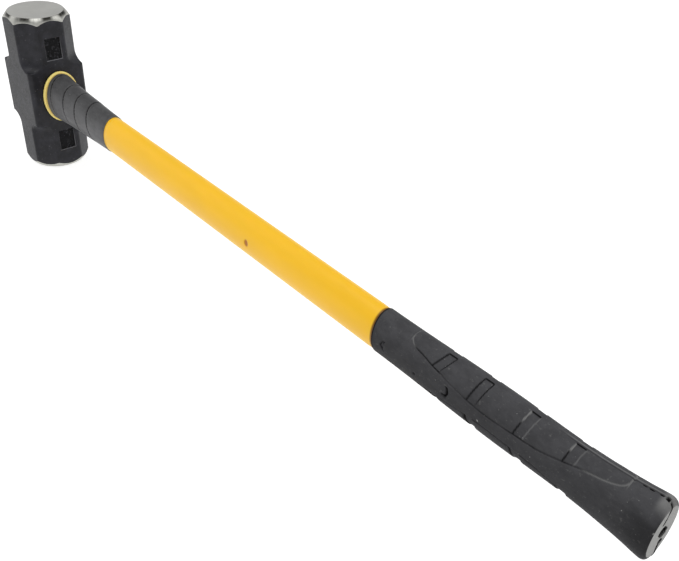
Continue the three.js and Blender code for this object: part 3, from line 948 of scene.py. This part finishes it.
class HAMMER_OT_grip(bpy.types.Operator):
    """Rubber grip with its leaf outline, sunk bands, flared butt and mould seam"""
    bl_idname = "hammer.grip"
    bl_label = "Rubber grip"

    def execute(self, context):
        settings = context.scene.hammer_handle
        start, end = GRIP_LOW.x, BUTT_X
        profile = [(0.0, GRIP_FLOOR), (SLEEVE_BORE, GRIP_FLOOR), (SLEEVE_BORE, start),
                   (GRIP_HALF(start) - 0.0007, start), (GRIP_HALF(start) - 0.0002, start + 0.0002)]
        count = int((end - BUTT_ROUND - start - GRIP_STEP) / GRIP_STEP)
        rows = [start + GRIP_STEP + i * GRIP_STEP for i in range(count)]
        rows += [end - BUTT_ROUND + BUTT_ROUND * math.sin(math.radians(90 * i / 14)) for i in range(14)]
        profile += [(grip_half(x), x) for x in rows]
        profile += [(BUTT_FLAT_Z * (1 - i / 40), end) for i in range(41)]
        bm = spun(profile, grip_ratio, 208)
        sunk = bm.verts.layers.float.new("sunk")
        wear_and_highlight = bm.verts.layers.float.new("wear_and_highlight")
        for vert in bm.verts:
            x = vert.co.x
            if x > end - 1e-6:
                carve_butt(vert, sunk, wear_and_highlight)
                continue
            out = math.hypot(vert.co.y / grip_ratio(x), vert.co.z - HANDLE_Z)
            if out < grip_half(x) - 0.0012 or x < start + 0.0001:
                continue
            carve_side(vert, settings, sunk, wear_and_highlight)
            # Painted shadow: a dark rim at the grip's start, where it meets the jacket.
            vert[sunk] = max(vert[sunk], 0.9 * groove(x - start, 0.0014, 0.0008))
        # Painted light and shade: the grip's top is painted lighter than its flanks.
        rubber = moulded_rubber("moulded_grip_rubber", settings.grip_rubber, 0.85, 1.42, 0.7)
        piece = new_piece("rubber_grip_sleeve", finish_mesh(bm, "rubber_grip_sleeve", 60),
                          [rubber])
        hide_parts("rubber_grip")
        return {"FINISHED"}


# ---------------------------------------------------------------- stage

def area_light(name, place, target, size, power):
    light = bpy.data.lights.new(name, "AREA")
    light.shape = "DISK"
    light.size = size
    light.energy = power
    lamp = bpy.data.objects.new(name, light)
    lamp.location = place
    lamp.rotation_euler = (Vector(target) - Vector(place)).to_track_quat("-Z", "Y").to_euler()
    bpy.context.scene.collection.objects.link(lamp)


class HAMMER_OT_stage(bpy.types.Operator):
    """Pale table, soft studio light and the camera"""
    bl_idname = "hammer.stage"
    bl_label = "Table, light and camera"

    def execute(self, context):
        scene = context.scene
        bm = bmesh.new()
        bmesh.ops.create_circle(bm, cap_ends=True, segments=64, radius=8.0)
        bmesh.ops.translate(bm, verts=bm.verts, vec=(0.4, 0, HEAD_LOW.z - 0.0002))
        table = bpy.data.objects.new("table", finish_mesh(bm, "table", 50))
        table.data.materials.append(pale_table())
        scene.collection.objects.link(table)

        world = bpy.data.worlds.new("white_tent")
        world.use_nodes = True
        world.node_tree.nodes["Background"].inputs["Color"].default_value = (1, 1, 1, 1)
        world.node_tree.nodes["Background"].inputs["Strength"].default_value = 0.5
        scene.world = world
        area_light("top_softbox", (0.3, -0.4, 2.2), (0.3, 0, 0.08), 2.4, 30)
        area_light("side_softbox", (-1.6, -0.9, 0.9), (0.0, 0, 0.08), 1.8, 6)
        area_light("back_softbox", (1.0, 1.6, 1.2), (0.4, 0, 0.08), 1.8, 9)

        data = bpy.data.cameras.new("camera")
        data.sensor_width = 36
        data.lens = 43.98
        data.shift_x = -0.0155
        data.shift_y = -0.0042
        data.clip_start = 0.01
        camera = bpy.data.objects.new("camera", data)
        right = Vector((0.6683, 0.7417, 0.0572)).normalized()
        ahead = Vector((-0.5803, 0.5679, -0.5838)).normalized()
        up = right.cross(ahead).normalized()
        turn = Matrix((right, up, -ahead)).transposed()
        camera.matrix_world = Matrix.Translation((0.8719, -0.3557, 0.4773)) @ turn.to_4x4()
        scene.collection.objects.link(camera)
        scene.camera = camera
        scene.view_settings.view_transform = "Standard"
        return {"FINISHED"}


class HAMMER_PT_panel(bpy.types.Panel):
    """Lists the sledgehammer's sizes, colours and makers"""
    bl_idname = "HAMMER_PT_panel"
    bl_label = "Sledgehammer"
    bl_space_type = "VIEW_3D"
    bl_region_type = "UI"
    bl_category = "Sledgehammer"

    def draw(self, context):
        for title, settings in (("Head", context.scene.hammer_head), ("Handle", context.scene.hammer_handle)):
            box = self.layout.box()
            box.label(text=title)
            for name in settings.__annotations__:
                box.prop(settings, name)
        for maker in MAKERS:
            self.layout.operator(maker.bl_idname)


SETTINGS = (HeadSettings, HandleSettings)
MAKERS = (HAMMER_OT_head, HAMMER_OT_eye_fillers, HAMMER_OT_collar, HAMMER_OT_jacket, HAMMER_OT_guard,
          HAMMER_OT_grip, HAMMER_OT_stage)


def register():
    for each in (*SETTINGS, *MAKERS, HAMMER_PT_panel):
        bpy.utils.register_class(each)
    bpy.types.Scene.hammer_head = PointerProperty(type=HeadSettings)
    bpy.types.Scene.hammer_handle = PointerProperty(type=HandleSettings)


def unregister():
    del bpy.types.Scene.hammer_head
    del bpy.types.Scene.hammer_handle
    for each in reversed((*SETTINGS, *MAKERS, HAMMER_PT_panel)):
        bpy.utils.unregister_class(each)


def main():
    register()
    for name in ("head", "eye_fillers", "collar", "jacket", "guard", "grip", "stage"):
        getattr(bpy.ops.hammer, name)()


if __name__ == "__main__":
    main()
